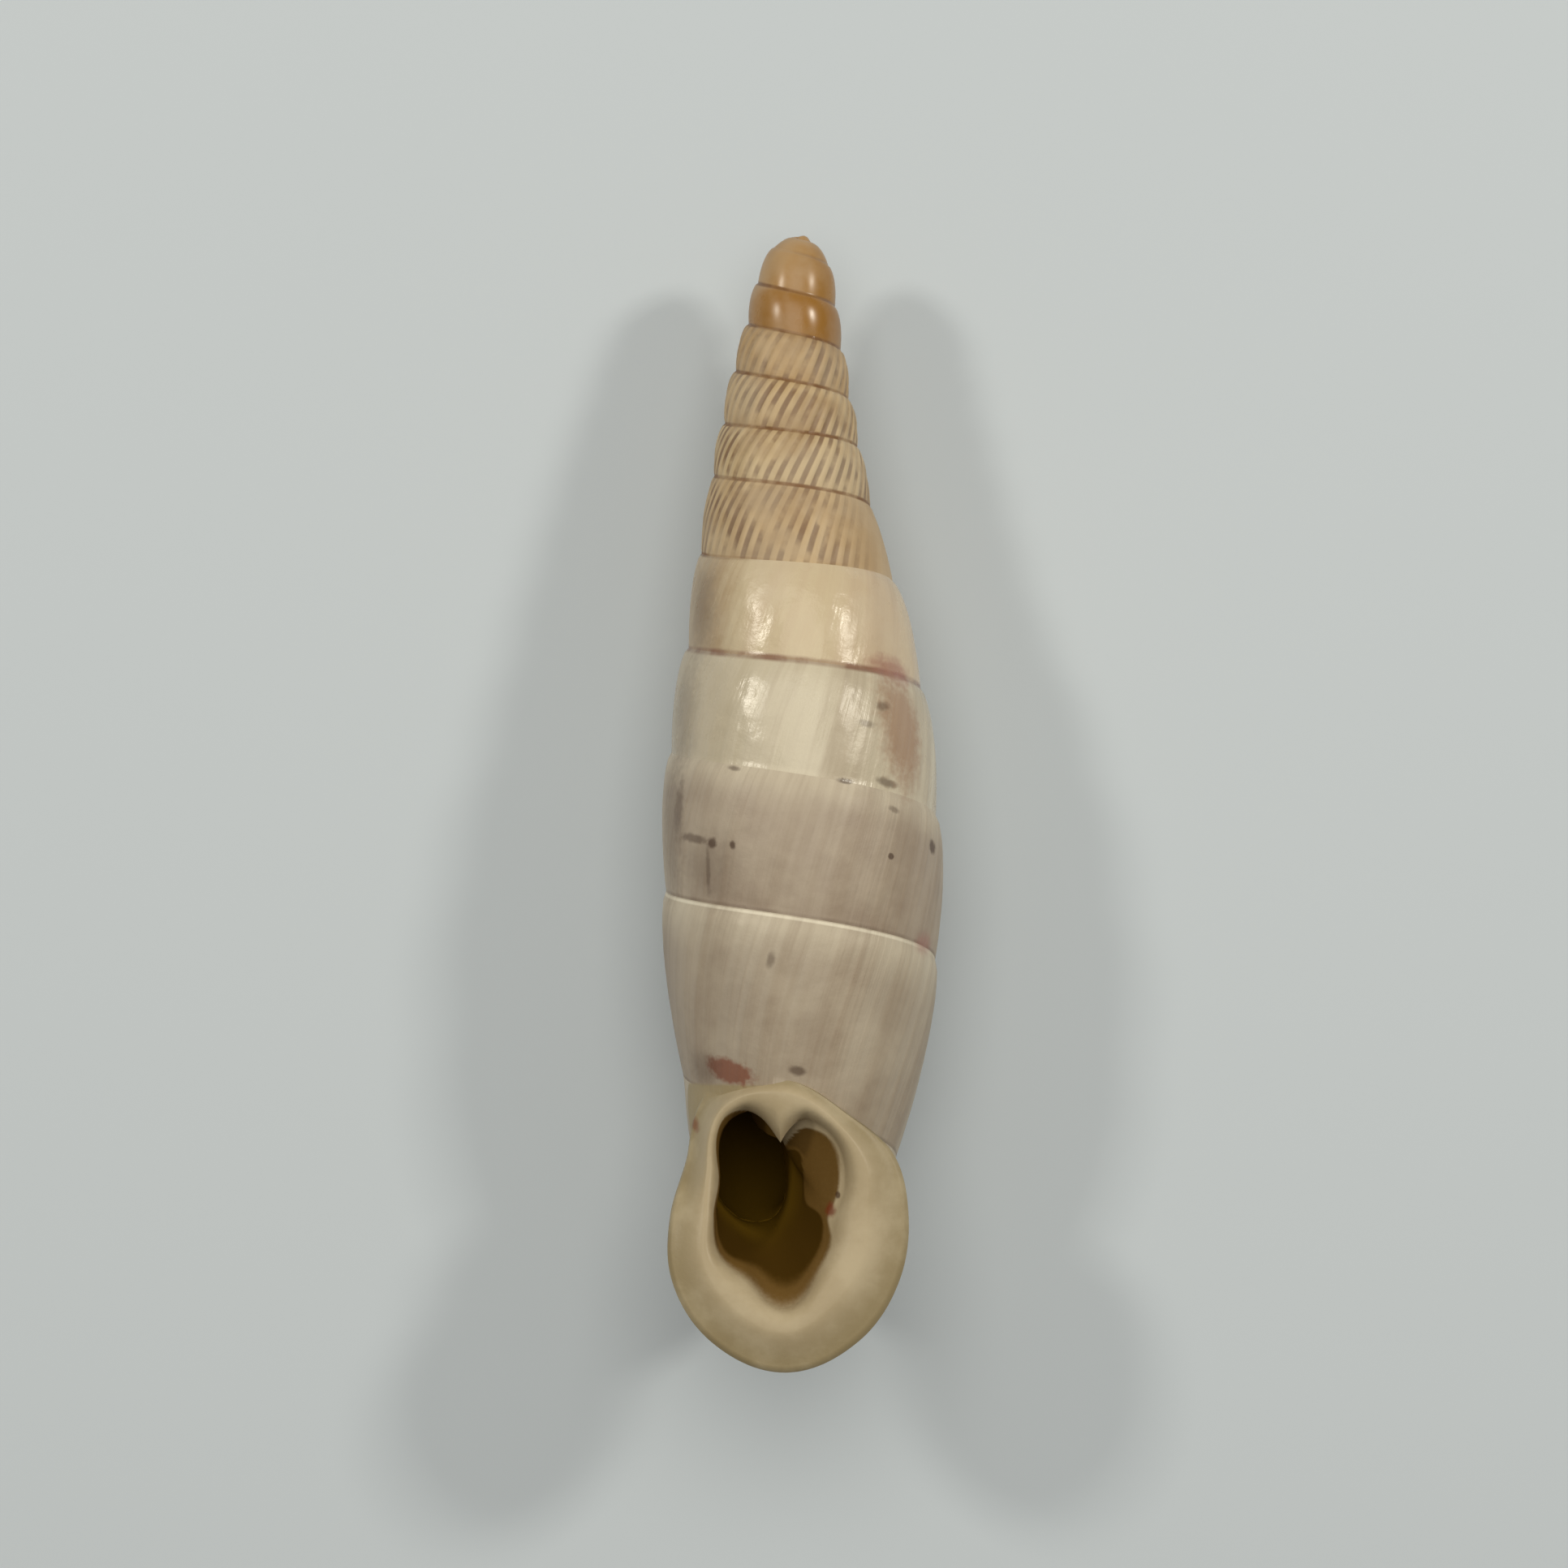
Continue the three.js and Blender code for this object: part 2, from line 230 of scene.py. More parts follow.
SHADE_FADE = [0.08, 0.15, 0.2, 0.15, 0.2, 0.3, 0.75, 0.5, 0.2, 0.07, 0.05, 0.06]
CALLUS_RADIUS = [1.85, 1.75, 1.7, 1.2, 1, 1, 1, 1, 1, 1.6, 3.3, 2.25]
TOOTH_CLOCK, TOOTH_SPREAD, TOOTH_REACH = -0.011, 0.045, 0.46
clocks = np.arange(MOUTH_POINTS)[None, :] / MOUTH_POINTS


def clock_of(points):
    """Clock position and reach of points as seen from the middle of the mouth."""
    h = -points[..., 1]
    x = points[..., 0] - along(SWAY, h)
    return np.arctan2(x - MOUTH_X, MOUTH_H - h) / (2 * np.pi), np.hypot(x - MOUTH_X, h - MOUTH_H)


# %% [markdown]
# ## Whorls with ribs
#
# The outside is one long strip: t is the turn, s runs from the suture above the strip to the
# suture below it, which is the strip's own upper edge one turn later. So a grid with a whole number
# of rows per turn can be glued to itself, and no whorl needs a piece of its own.
#
# The young whorls carry ribs, one for each small step of growth. They could be a bump in the
# material, but ribs this coarse break the outline and catch the light, so they are real: each point
# moves outwards by a wave whose phase runs along the growth and slants with s.

# %% Ribs and whorls
ROWS_PER_TURN = 360
COLUMNS = 14
RIB_START = (1.85, 2.15)
RIB_END = (5.26, 5.44)
RIB_HEIGHT = 0.026
LINE_START = (6.2, 8.0)
LINE_END = (10.0, 10.8)
LINE_HEIGHT = 0.006
COUNTING_STEPS = 1500
RIBS_PER_TURN = [(0, 22), (2, 26), (3, 32), (4, 38), (5, 44), (6, 46), (8, 78), (12, 82)]
CROWDING = 0.035
SLANT = [(0, 0.055), (5, 0.062), (6, 0.055), (8, 0.045), (9, 0.06), (10, 0.065)]


def rib_phase(t, s):
    """How many ribs lie between the tip and the point: the sum of ribs per turn, plus a slant."""
    turns = np.linspace(FIRST_TURN, LAST_TURN + 1, COUNTING_STEPS + 1)
    density = along(RIBS_PER_TURN, turns)
    total = np.concatenate([[0], np.cumsum((density[1:] + density[:-1]) / 2 * np.diff(turns))])
    leaning = t + along(SLANT, t) * s * (1.25 - 0.25 * s)
    return np.interp(leaning, turns, total)


def relief(t, s):
    """Height of the ribs: a cosine wave, uneven from rib to rib and low at the sutures."""
    phase = rib_phase(t, s)
    crest = 0.5 + 0.5 * np.cos(2 * np.pi * phase)
    uneven = 0.72 + 0.28 * np.sin(phase * 2.17 + 3.1 * s) * np.cos(phase * 0.83 + 1.7)
    ribbed = ease(*RIB_START, t) * (1 - ease(*RIB_END, t))
    lined = ease(*LINE_START, t) * (1 - ease(*LINE_END, t))
    edge = np.clip(4 * s * (1 - s), 0, 1) ** 0.35
    return (RIB_HEIGHT * ribbed * crest * uneven + LINE_HEIGHT * lined * crest * uneven) * edge


def wall(t, s, raised=0.0):
    """Radius and depth of the outer wall.

    A straight line from suture to suture, plus a swell square to it of s^p (1 - s), scaled so that
    its highest point is the value of SWELL, plus the height raised.
    """
    r0, r1 = along(SUTURE_RADIUS, t), along(SUTURE_RADIUS, t + 1)
    h0, h1 = along(SUTURE_DEPTH, t), along(SUTURE_DEPTH, t + 1)
    length = np.hypot(r1 - r0, h1 - h0) + 1e-9
    power = along(SWELL_POWER, t)
    peak = (power / (1 + power)) ** power / (1 + power)
    swell = np.minimum(along(SWELL, t), 0.3 * length) * s**power * (1 - s) / peak + raised
    r = r0 + (r1 - r0) * s + swell * (h1 - h0) / length
    h = h0 + (h1 - h0) * s - swell * (r1 - r0) / length
    return r, h


def make_whorls():
    """The whorls as a closed solid: a strip of turns whose lower edge is its upper edge later."""
    rows = (LAST_TURN - FIRST_TURN) * ROWS_PER_TURN
    t = FIRST_TURN + np.arange(rows + ROWS_PER_TURN + 1)[:, None] / ROWS_PER_TURN
    spread = (np.arange(COLUMNS) / COLUMNS)[None, :]
    s = spread - CROWDING * np.sin(2 * np.pi * spread)
    tapering = ease(FIRST_TURN + 0.02, FIRST_TURN + 0.6, t) * (1 - ease(11.3, 11.98, t))
    r, h = wall(t, s, relief(t, s) * tapering)
    points = place(-r * np.cos(2 * np.pi * t), h, r * np.sin(2 * np.pi * t))
    first, last = place(0.0, 0.0, 0.0), place(0.0, float(along(SUTURE_DEPTH, LAST_TURN)), 0.0)
    points[:ROWS_PER_TURN + 1, 0] = first
    points[0] = first
    points[rows:] = last
    points = np.concatenate([points[:rows + 1], points[ROWS_PER_TURN:, :1]], axis=1)
    t, s = np.broadcast_arrays(t[:rows + 1], np.append(s, 1.0)[None, :])
    widening = along(SUTURE_RADIUS, t + 1) - along(SUTURE_RADIUS, t)
    length = np.hypot(widening, along(SUTURE_DEPTH, t + 1) - along(SUTURE_DEPTH, t))
    clock, reach = clock_of(points)
    near_lip = np.clip(0.5 + around(CALLUS_RADIUS, clock) - reach, 0, 1)
    near_lip = near_lip * ease(0, 0.5, points[..., 2])
    maps = {
        "growth": np.stack([t, s], axis=-1),
        "ribs": np.stack([rib_phase(t, s), np.minimum(s, 1 - s) * length], axis=-1),
        "tint": np.stack([0 * near_lip, near_lip], axis=-1),
    }
    whorls = grid_object("snail_shell", whorl_finish, points, maps, flip=True)
    weld(whorls)
    return whorls


shell = make_whorls()

# %% [markdown]
# ## The hollow
#
# A snail lives in the tube, so the whorls are empty behind the mouth. A second tube, a wall's
# thickness smaller and wound round a solid pillar, is cut out of them. Only its last turn can be
# seen through the mouth, so its rings are coarser than the outside.

# %% The winding hollow
WALL = [(0, 0.07), (10, 0.19)]
PILLAR = [(0, 0.06), (9, 0.24), (10, 0.28)]
HOLLOW_START = 0.8
HOLLOW_END = 10.02
# DEEP raises the shade value past 1 deep in the throat and hollow, where a lighter brown is painted
# light, as if shining through the thin wall
DEEP, DEEP_END = 0.5, 0.85
ALL_DARK_BELOW = 0.44
ROUNDNESS = 2.4
HOLLOW_RINGS, HOLLOW_POINTS = 369, 24


def hollow_section(t):
    """Middle, half sizes and lean of the hollow's cross-section in the plane of turn t."""
    thick = along(WALL, t)
    top, bottom = along(SUTURE_DEPTH, t), along(SUTURE_DEPTH, t + 1)
    outer = wall(t, np.float64(0.45))[0] - thick
    inner = along(PILLAR, t)
    drift = along(SUTURE_RADIUS, t + 1) - along(SUTURE_RADIUS, t)
    return {
        "r": (outer + inner) / 2,
        "h": (top + bottom) / 2,
        "half_r": (outer - inner) / 2,
        "half_h": (bottom - top) / 2 - 0.75 * thick,
        "lean": 0.8 * drift / (bottom - top),
    }


def section_reach(section, clock):
    """Distance from the middle of a rounded box |x/a|^n + |y/b|^n = 1 to its edge at a clock."""
    down, out = np.cos(2 * np.pi * clock), np.sin(2 * np.pi * clock)
    n = ROUNDNESS
    ratio = np.abs(out / section["half_r"]) ** n + np.abs(down / section["half_h"]) ** n
    return ratio ** (-1 / n)


def close_ends(points):
    """Adds a row at each end of a tube, with all its points in the middle of the end ring."""
    ends = [np.broadcast_to(ring.mean(0), ring.shape)[None] for ring in (points[0], points[-1])]
    return np.concatenate([ends[0], points, ends[1]])


def tube_object(name, points, shade, lip):
    """A closed tube from rings[row, column] and the shade and lip values of its points."""
    tint = np.stack([np.broadcast_to(value, points.shape[:2]) for value in (shade, lip)], axis=-1)
    tint = np.pad(tint, [(1, 1), (0, 0), (0, 0)], mode="edge")
    piece = grid_object(name, lip_finish, close_ends(points), {"tint": tint}, closed_rows=True)
    weld(piece)
    return piece


def make_hollow():
    """Rings of the hollow's section, turned round the axis at the section's own radius."""
    t = np.linspace(HOLLOW_START, HOLLOW_END, HOLLOW_RINGS)[:, None]
    clock = np.arange(HOLLOW_POINTS)[None, :] / HOLLOW_POINTS
    section = hollow_section(t)
    reach = section_reach(section, clock)
    down = -reach * np.cos(2 * np.pi * clock)
    r = section["r"] - reach * np.sin(2 * np.pi * clock) + section["lean"] * down
    h = section["h"] + down
    points = place(-r * np.cos(2 * np.pi * t), h, r * np.sin(2 * np.pi * t))
    # painted light: the hollow's shade value of 1 + DEEP gives it the lighter brown of light through
    # the thin wall
    return tube_object("hollow", points, 1 + DEEP, 0)


hollow = make_hollow()

# %% [markdown]
# ## The mouth
#
# The last whorl turns outwards and ends in a broad lip. Both the inside of the throat and the
# outside of the neck are rings round the mouth. The neck and lip are made solid first, as a
# trumpet, and the throat is then cut out of it, across the face of the lip.

# %% Rings of the mouth
def tooth_reach(clock):
    """How far the tooth reaches into the hole: a pointed cusp that spreads to both sides."""
    beside = np.abs((clock - TOOTH_CLOCK + 0.5) % 1 - 0.5) / TOOTH_SPREAD
    return TOOTH_REACH * np.clip(1 - beside, 0, 1) ** 1.4


def hole_reach(clock):
    """Reach of the hole's edge: its clock values, less the tooth."""
    return around(HOLE_RADIUS, clock) - tooth_reach(clock)


def throat_ring(v, thick=0.0):
    """The throat from the hollow's last section, v = 0, to the edge of the hole, v = 1.

    The middle moves from one to the other by v^1.5, and the reach passes the narrow fold on the way.
    """
    start = hollow_section(np.float64(10))
    share = v**1.5
    from_reach = section_reach(start, clocks)
    fold, hole = around(FOLD_RADIUS, clocks), hole_reach(clocks)
    before, after = (fold - from_reach) / FOLD_AT, (hole - fold) / (1 - FOLD_AT)
    both = before * after > 0
    slope = np.where(both, 2 * before * after / np.where(both, before + after, 1), 0)
    to_fold = cubic(v / FOLD_AT, FOLD_AT, from_reach, fold, before, slope)
    to_hole = cubic((v - FOLD_AT) / (1 - FOLD_AT), 1 - FOLD_AT, fold, hole, slope, after)
    reach = np.where(v < FOLD_AT, to_fold, to_hole) + thick
    down = -reach * np.cos(2 * np.pi * clocks)
    right = reach * np.sin(2 * np.pi * clocks) - (1 - v) * start["lean"] * down
    x = mix(-start["r"], MOUTH_X, share) + right
    h = mix(start["h"], MOUTH_H, share) + down
    return place(x, h, v * (around(CREST_HEIGHT, clocks) - RIM_DEPTH) + 0 * x)


def mouth_ring(reach, z):
    """Points at a reach from the middle of the mouth and a height above the axis."""
    x = MOUTH_X + reach * np.sin(2 * np.pi * clocks)
    h = MOUTH_H - reach * np.cos(2 * np.pi * clocks)
    return place(x, h, z + 0 * x)


def lip_ring(c, drop=0.0):
    """The face of the lip: c runs from the hole, 0, over the crest, 1, to the outer edge, 2."""
    crest, edge = around(CREST_RADIUS, clocks), around(EDGE_RADIUS, clocks)
    top, rim = around(CREST_HEIGHT, clocks), around(EDGE_HEIGHT, clocks)
    inner, outer = np.clip(c, 0, 1), np.clip(c - 1, 0, 1)
    reach = mix(mix(hole_reach(clocks), crest, inner), edge, outer)
    z = top - RIM_DEPTH * (1 - inner) ** 3 + (rim - top) * ease(0, 1, outer**0.8)
    return mouth_ring(reach, z - drop)


def throat_shade(points, v):
    """Painted shade in the throat: 1 in the dark, 0.55 in the brown and 0 on the lip.

    Deep inside it rises to 1 + DEEP, which is painted light: the lighter brown of light through the
    wall.
    """
    clock, reach = clock_of(points)
    fade = around(SHADE_FADE, clock)
    dark_edge = around(SHADE_DARK_RADIUS, clock) - tooth_reach(clock)
    brown_edge = around(SHADE_BROWN_RADIUS, clock) - tooth_reach(clock)
    dark = 1 - ease(dark_edge - fade, dark_edge, reach)
    brown = 1 - ease(brown_edge - 0.6 * fade, brown_edge, reach)
    shade = np.where(v < ALL_DARK_BELOW, 1, np.maximum(dark, 0.55 * brown))
    return shade + DEEP * (1 - ease(0, DEEP_END, v))


def make_throat():
    """What is cut out of the mouth: the throat, then the slope up to the crest of the lip.

    The last two rings rise straight up, so that the cut passes clear through the face.
    """
    v = np.linspace(0, 1, THROAT_ROWS)[:, None]
    c = np.linspace(0.08, JOIN, SLOPE_ROWS)[:, None]
    reach = mix(hole_reach(clocks), around(CREST_RADIUS, clocks), JOIN) + 0.002
    beyond = [mouth_ring(reach, around(CREST_HEIGHT, clocks) + lift) for lift in (0.1, 1)]
    points = np.concatenate([throat_ring(v), lip_ring(c), *beyond])
    v_of_row = np.concatenate([v, np.ones((len(c) + len(beyond), 1))])
    return tube_object("throat", points, throat_shade(points, v_of_row), 1)


def make_trumpet():
    """The solid neck and lip: neck rings, a rounded outer edge, then the face up to the crest."""
    v = np.linspace(NECK_SHARES[0][0], NECK_SHARES[-1][0], NECK_ROWS)[:, None]
    thick = along(NECK_SHARES, v) * around(NECK_WALL, clocks)
    neck = throat_ring(v, thick)
    root, low = neck[-1:], lip_ring(np.array([[2.0]]), RIM_THICKNESS)
    share = np.linspace(0.2, 0.95, UNDER_ROWS)[:, None, None]
    under = mix(root, low, share) + np.array([0, 0, 1]) * (0.05 * np.sin(np.pi * share) ** 2)
    edge = lip_ring(np.array([[2.0]]), RIM_THICKNESS / 2)
    face = lip_ring(np.concatenate([np.linspace(2, 1.05, FACE_ROWS)[1:], CREST_ROWS])[:, None])
    points = np.concatenate([neck, under, edge, face])
    # lip runs from 0 on the neck over the underside to 1 at the crest; the finish paints the outer
    # edge darker as shade
    lip = np.concatenate([
        np.zeros(NECK_ROWS),
        np.linspace(0.1, 0.7, UNDER_ROWS),
        np.linspace(0.7, 1, FACE_ROWS),
        np.ones(len(CREST_ROWS)),
    ])
    return tube_object("trumpet", points, 0, lip[:, None])


throat = make_throat()
trumpet = make_trumpet()

# %% [markdown]
# ## The tooth
#
# On the wall above the mouth stands a white tooth, the front end of a blade that runs into the
# shell. Each of its sections is a teardrop: across, sin a times a power of sin a/2, and down, cos a.


# %% The tooth as a teardrop blade
TOOTH_RUN = [
    (1.53, 0.35, 0), (1.5, 0.65, 0), (1.44, 0.85, 0), (1.35, 1, 0),
    (1.2, 0.98, -0.06), (1.0, 0.85, -0.18), (0.7, 0.6, -0.32), (0.5, 0.3, -0.4),
]
TOOTH_X, TOOTH_H = -0.32, 13.12
TOOTH_HALF_WIDTH, TOOTH_LENGTH = 0.3, 0.42
TOOTH_POINTS = 48


def make_tooth():
    """Teardrops, point down, stacked from the front of the tooth into the shell."""
    angle = 2 * np.pi * np.arange(TOOTH_POINTS)[None, :] / TOOTH_POINTS
    z, size, shift = (np.array(column)[:, None] for column in zip(*TOOTH_RUN))
    across = np.sin(angle) * np.abs(np.sin(angle / 2)) ** 1.3
    x = TOOTH_X + shift + size * TOOTH_HALF_WIDTH * across
    h = TOOTH_H + size * TOOTH_LENGTH * np.cos(angle)
    points = np.stack(np.broadcast_arrays(x, -h, z), axis=-1)
    # painted shade: below a height of 1.5 mm the tooth gets the brown painted shade of the hole
    shade = 0.75 * (1 - ease(1.25, 1.5, z))
    return tube_object("tooth", points, shade, 1)


tooth = make_tooth()

# %% [markdown]
# ## One grown piece
#
# The shell grew as one piece, so its parts are joined into one closed mesh. Boolean modifiers do
# that: the Manifold solver keeps the UV maps on both sides of every cut, and each face its finish.


# %% Joining and cutting
def combine(base, other, operation):
    """Applies one boolean to base and removes the other object."""
    step = base.modifiers.new(operation, "BOOLEAN")
    step.operation = operation
    step.object = other
    step.solver = "MANIFOLD"
    step.material_mode = "TRANSFER"
    graph = bpy.context.evaluated_depsgraph_get()
    made = bpy.data.meshes.new_from_object(base.evaluated_get(graph))
    base.modifiers.clear()
    base.data = made
    bpy.data.objects.remove(other)


combine(shell, trumpet, "UNION")
combine(shell, hollow, "DIFFERENCE")
combine(shell, throat, "DIFFERENCE")
combine(shell, tooth, "UNION")
print("joined:", len(shell.data.vertices), "points,", len(shell.data.polygons), "faces")

# %% [markdown]
# ## Setting it down
#
# The joined mesh is tipped a little toward its tip, as it lies on a table, and the few points that
# would reach below the table are pressed flat: old shells are worn smooth just there. Then it moves
# into the CAD part's box, and from millimetres to metres.


# %% Into the frame
SHARP_ANGLE = math.radians(50)
RAY_START = 0.02
TOOTH_TIP = (-0.33, 13.5)


def set_down(piece):
    """Turns, flattens and moves the points, and leaves the object itself at the origin."""
    mesh = piece.data
    flat = np.empty(len(mesh.vertices) * 3, np.float32)
    mesh.vertices.foreach_get("co", flat)
    x, y, z = flat.reshape(-1, 3).astype(float).T
    y = y + TIP_DEPTH
    c, s = math.cos(-TIP_ANGLE), math.sin(-TIP_ANGLE)
    y, z = y * c - z * s, y * s + z * c
    z = np.maximum(z, REST_LEVEL) - REST_LEVEL
    middle = (cad_low + cad_high) / 2 / MM
    shift_x = middle.x - (x.min() + x.max()) / 2
    shift_y = middle.y - (y.min() + y.max()) / 2
    points = np.stack([x + shift_x, y + shift_y, z], axis=-1) * MM
    mesh.vertices.foreach_set("co", points.astype(np.float32).ravel())
    mesh.update()
    return shift_x, shift_y + TIP_DEPTH


shift_x, shift_y = set_down(shell)
shell.data.polygons.foreach_set("use_smooth", np.ones(len(shell.data.polygons), bool))
shell.data.set_sharp_from_angle(angle=SHARP_ANGLE)
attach(shell, "root")
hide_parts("shell")


def front_point(x, h):
    """The point on the front of the shell at x and h, in metres in the frame."""
    start = Vector(((x + shift_x) * MM, (shift_y - h) * MM, RAY_START))
    hit, location, _, _ = shell.ray_cast(start, Vector((0, 0, -1)))
    return location if hit else start


print("tooth's tip is at", [round(v / MM, 2) for v in front_point(*TOOTH_TIP)], "mm")

# %% [markdown]
# ## Helpers for materials
#
# A material is a tree of nodes. The helpers below add one node and link it, so that a finish reads
# like a formula. Colours are given as screen values from 0 to 255, and `tone` turns them into the
# linear light that the shader wants.


# %% Nodes as formulas
def tone(red, green, blue):
    """A linear colour from screen values: the sRGB curve, undone."""
    share = np.array([red, green, blue]) / 255
    linear = np.where(share <= 0.04045, share / 12.92, ((share + 0.055) / 1.055) ** 2.4)
    return (*linear, 1.0)


def node(tree, kind, inputs=None, **settings):
    """Adds a node, sets it up, and links or fills its inputs."""
    made = tree.nodes.new(kind)
    for key, value in settings.items():
        setattr(made, key, value)
    for key, value in (inputs or {}).items():
        if isinstance(value, bpy.types.NodeSocket):
            tree.links.new(value, made.inputs[key])
        else:
            made.inputs[key].default_value = value
    return made


def calc(tree, operation, *values, clamp=False):
    """The result of a Math node."""
    made = node(tree, "ShaderNodeMath", dict(enumerate(values)), operation=operation)
    made.use_clamp = clamp
    return made.outputs[0]


def rise(tree, value, low, high):
    """0 at low, 1 at high and smooth between; low may be the larger one."""
    inputs = {"Value": value, "From Min": low, "From Max": high}
    return node(tree, "ShaderNodeMapRange", inputs, interpolation_type="SMOOTHSTEP").outputs[0]


def times(tree, *factors):
    """The product of several values."""
    product = factors[0]
    for factor in factors[1:]:
        product = calc(tree, "MULTIPLY", product, factor)
    return product


def scaled(tree, value, factor, offset, clamp=False):
    """A value times a factor, plus an offset."""
    return calc(tree, "MULTIPLY_ADD", value, factor, offset, clamp=clamp)


def blend(tree, share, a, b):
    """Colour a mixed with colour b by a share."""
    return node(tree, "ShaderNodeMix", {0: share, 6: a, 7: b}, data_type="RGBA").outputs[2]


def ramp(tree, value, stops):
    """A colour ramp through (position, colour) stops."""
    made = node(tree, "ShaderNodeValToRGB", {"Fac": value})
    elements = made.color_ramp.elements
    for position, _ in stops[2:]:
        elements.new(position)
    for element, (position, colour) in zip(elements, stops):
        element.position = position
        element.color = colour
    return made.outputs[0]


def noise(tree, vector, scale, detail=2.0, roughness=0.5):
    """Smooth noise from 0 to 1."""
    inputs = {"Vector": vector, "Scale": scale, "Detail": detail, "Roughness": roughness}
    return node(tree, "ShaderNodeTexNoise", inputs).outputs[0]


def new_group(name, inputs, outputs):
    """An empty node group with named sockets, and its two ends."""
    group = bpy.data.node_groups.new(name, "ShaderNodeTree")
    for side, sockets in (("INPUT", inputs), ("OUTPUT", outputs)):
        for key, kind in sockets.items():
            group.interface.new_socket(key, in_out=side, socket_type=f"NodeSocket{kind}")
    given, out = node(group, "NodeGroupInput"), node(group, "NodeGroupOutput")
    return group, given.outputs, out.inputs


def use(tree, group, inputs):
    """The outputs of a node group placed in a tree."""
    return node(tree, "ShaderNodeGroup", inputs, node_tree=group).outputs


def map_values(tree, name):
    """The two values that a UV map holds at a point."""
    uv = node(tree, "ShaderNodeUVMap", uv_map=name).outputs[0]
    return node(tree, "ShaderNodeSeparateXYZ", {0: uv}).outputs[:2]


def object_place(tree):
    """The place of a point, in metres."""
    return node(tree, "ShaderNodeTexCoord").outputs["Object"]


def empty_tree(material):
    """A material's node tree with nothing in it."""
    material.use_nodes = True
    material.node_tree.nodes.clear()
    return material.node_tree


def end_in_shader(tree, height, strength, depth, inputs):
    """Ends a tree in a shader that is bumped by a height, up to a depth in millimetres."""
    bumps = {"Height": height, "Strength": strength, "Distance": depth * MM}
    normal = node(tree, "ShaderNodeBump", bumps).outputs[0]
    shader = node(tree, "ShaderNodeBsdfPrincipled", {"Normal": normal, **inputs})
    output = node(tree, "ShaderNodeOutputMaterial")
    tree.links.new(shader.outputs[0], output.inputs[0])


print("a middle grey of 128 is", round(float(tone(128, 128, 128)[0]), 3), "in linear light")

# %% [markdown]
# ## Effects that both finishes share
#
# Three effects are built once. Growth lines are noise that is squeezed along the growth and drawn
# out across it. A stain is a soft, ragged ellipse at one place, for specks, scars and smears. Chalk
# is the cloudy wear that every old shell has.


# %% Node groups
def make_growth_lines():
    """Streaks: noise on (count of lines, a little of s), sharpened round its middle."""
    sockets = {"Along": "Float", "Across": "Float"}
    group, given, out = new_group("growth lines", sockets, {"Streaks": "Float"})
    stretched = times(group, given["Across"], 0.55)
    vector = node(group, "ShaderNodeCombineXYZ", {0: given["Along"], 1: stretched}).outputs[0]
    narrow = rise(group, noise(group, vector, 0.9, 3.0, 0.6), 0.3, 0.72)
    broad = rise(group, noise(group, vector, 0.22, 1.0), 0.35, 0.65)
    group.links.new(scaled(group, broad, 0.5, times(group, narrow, 0.5)), out["Streaks"])
    return group


def make_stain():
    """A mask of 1 inside a ragged ellipsoid: distance over half size, pushed about by noise."""
    sockets = {
        "Centre": "Vector",
        "Half Size": "Vector",
        "Turn": "Float",
        "Raggedness": "Float",
        "Softness": "Float",
    }
    group, given, out = new_group("stain", sockets, {"Mask": "Float"})
    here = object_place(group)
    push = calc(group, "SUBTRACT", noise(group, here, 9000.0, 2.0), 0.5)
    inputs = {0: here, 1: given["Centre"]}
    offset = node(group, "ShaderNodeVectorMath", inputs, operation="SUBTRACT").outputs[0]
    inputs = {"Vector": offset, "Angle": given["Turn"]}
    turned = node(group, "ShaderNodeVectorRotate", inputs, rotation_type="Z_AXIS").outputs[0]
    inputs = {0: turned, 1: given["Half Size"]}
    ratio = node(group, "ShaderNodeVectorMath", inputs, operation="DIVIDE").outputs[0]
    length = node(group, "ShaderNodeVectorMath", {0: ratio}, operation="LENGTH").outputs[1]
    reach = calc(group, "ADD", length, times(group, push, given["Raggedness"]))
    outside = calc(group, "ADD", given["Softness"], 1.0)
    inside = calc(group, "SUBTRACT", 1.0, given["Softness"])
    group.links.new(rise(group, reach, outside, inside), out["Mask"])
    return group


def make_chalk():
    """Clouds of wear in two sizes, from 0 to 1."""
    outputs = {"Clouds": "Float", "Grains": "Float"}
    group, given, out = new_group("chalk", {"Size": "Float"}, outputs)
    here = object_place(group)
    clouds = noise(group, here, given["Size"], 4.0, 0.6)
    grains = noise(group, here, times(group, given["Size"], 14.0), 3.0, 0.6)
    group.links.new(rise(group, clouds, 0.35, 0.7), out["Clouds"])
    group.links.new(grains, out["Grains"])
    return group


growth_lines, stain, chalk = make_growth_lines(), make_stain(), make_chalk()
print("node groups:", [group.name for group in bpy.data.node_groups])
